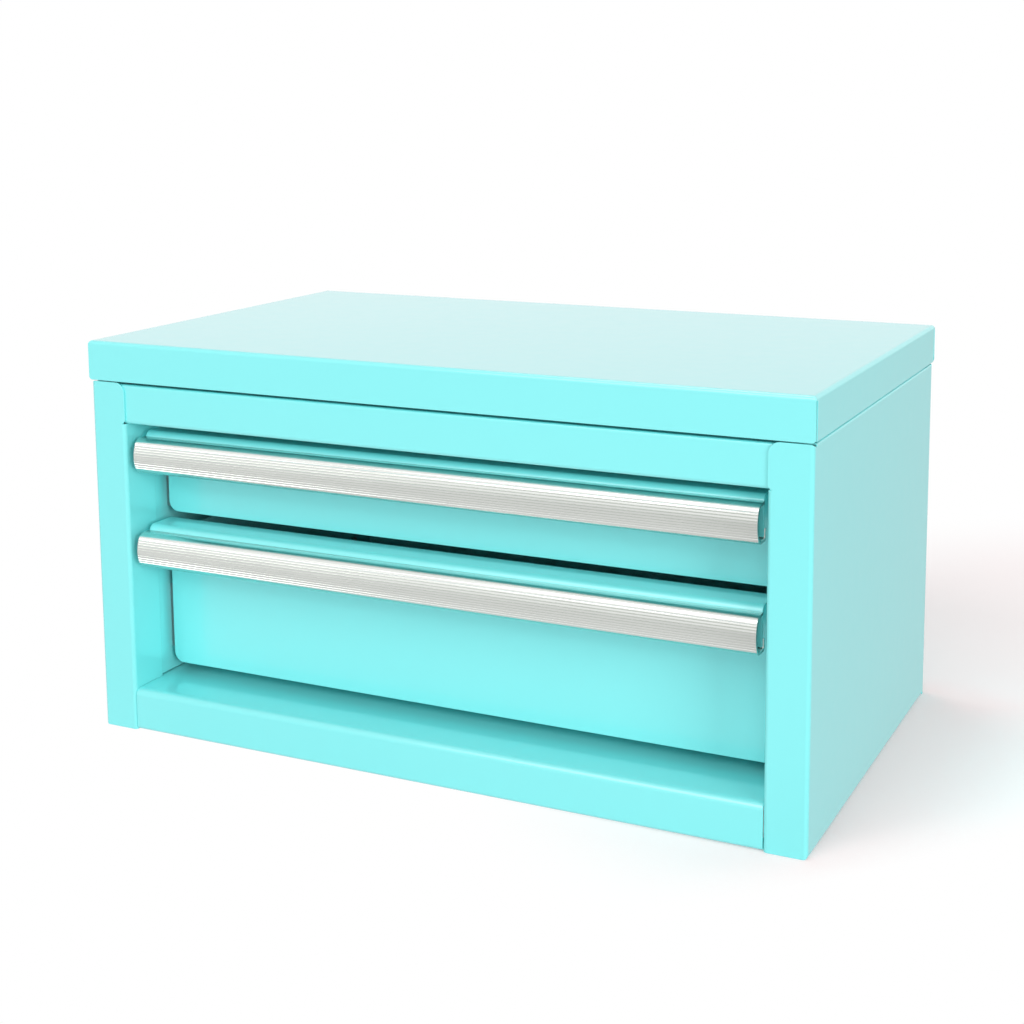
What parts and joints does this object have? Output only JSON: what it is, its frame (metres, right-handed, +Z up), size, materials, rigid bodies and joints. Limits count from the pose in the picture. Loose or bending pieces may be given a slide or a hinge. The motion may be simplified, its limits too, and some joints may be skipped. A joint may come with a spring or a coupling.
{
  "type": "two-drawer tool chest",
  "caption": "Small bench-top tool chest of folded painted sheet steel with a rear-hinged lid over a shallow till and drawers on ball slides with ribbed full-width pulls.",
  "frame": {"origin": "middle of the footprint, on the surface that the chest stands on", "axes": "+X to the right seen from the front, +Y from the front to the back, +Z up; the drawers open along -Y"},
  "size_m": [0.3012, 0.1842, 0.161],
  "materials": {
    "cabinet_paint": "smooth glossy aqua powder coat",
    "pull_aluminium": "satin anodised, finely ribbed",
    "slide_zinc": "bright zinc plate",
    "ball_steel": "polished",
    "cage_plastic": "moulded",
    "rivet_zinc": "zinc plate",
    "hinge_zinc": "zinc plate",
    "bumper_rubber": "matt"
  },
  "bodies": {
    "cabinet": {"left_side_panel": "cabinet_paint", "right_side_panel": "cabinet_paint", "back_panel": "cabinet_paint", "base_pan": "cabinet_paint", "till_pan": "cabinet_paint", "left_slide_carrier": "cabinet_paint", "right_slide_carrier": "cabinet_paint", "lid_bumpers": "bumper_rubber", "carrier_rivets": "rivet_zinc", "lower_left_slide_outer": "slide_zinc", "lower_right_slide_outer": "slide_zinc", "upper_left_slide_outer": "slide_zinc", "upper_right_slide_outer": "slide_zinc", "hinge_body_leaf": "hinge_zinc", "hinge_pin": "hinge_zinc", "hinge_body_rivets": "rivet_zinc"},
    "lid": {"lid_shell": "cabinet_paint", "hinge_lid_leaf": "hinge_zinc", "hinge_lid_rivets": "rivet_zinc"},
    "lower_drawer": {"lower_drawer_pan": "cabinet_paint", "lower_drawer_front": "cabinet_paint", "lower_pull": "pull_aluminium", "lower_drawer_rivets": "rivet_zinc", "lower_left_slide_inner": "slide_zinc", "lower_right_slide_inner": "slide_zinc"},
    "lower_ball_cages": {"lower_left_ball_cage": "cage_plastic", "lower_right_ball_cage": "cage_plastic", "lower_slide_balls": "ball_steel"},
    "upper_drawer": {"upper_drawer_pan": "cabinet_paint", "upper_drawer_front": "cabinet_paint", "upper_pull": "pull_aluminium", "upper_drawer_rivets": "rivet_zinc", "upper_left_slide_inner": "slide_zinc", "upper_right_slide_inner": "slide_zinc"},
    "upper_ball_cages": {"upper_left_ball_cage": "cage_plastic", "upper_right_ball_cage": "cage_plastic", "upper_slide_balls": "ball_steel"}
  },
  "joints": [
    {"name": "lid_hinge", "type": "hinge", "parent": "cabinet", "child": "lid", "pos_m": [0, 0.0861, 0.14465], "axis": [-1, 0, 0], "range_deg": [0, 100]},
    {"name": "lower_drawer_slide", "type": "slide", "parent": "cabinet", "child": "lower_drawer", "axis": [0, -1, 0], "range_m": [0, 0.1]},
    {"name": "lower_cage_slide", "type": "slide", "parent": "cabinet", "child": "lower_ball_cages", "axis": [0, -1, 0], "range_m": [0, 0.05]},
    {"name": "upper_drawer_slide", "type": "slide", "parent": "cabinet", "child": "upper_drawer", "axis": [0, -1, 0], "range_m": [0, 0.1]},
    {"name": "upper_cage_slide", "type": "slide", "parent": "cabinet", "child": "upper_ball_cages", "axis": [0, -1, 0], "range_m": [0, 0.05]}
  ],
  "couplings": [
    {"joint": "lower_cage_slide", "follows": "lower_drawer_slide", "ratio": 0.5},
    {"joint": "upper_cage_slide", "follows": "upper_drawer_slide", "ratio": 0.5}
  ]
}
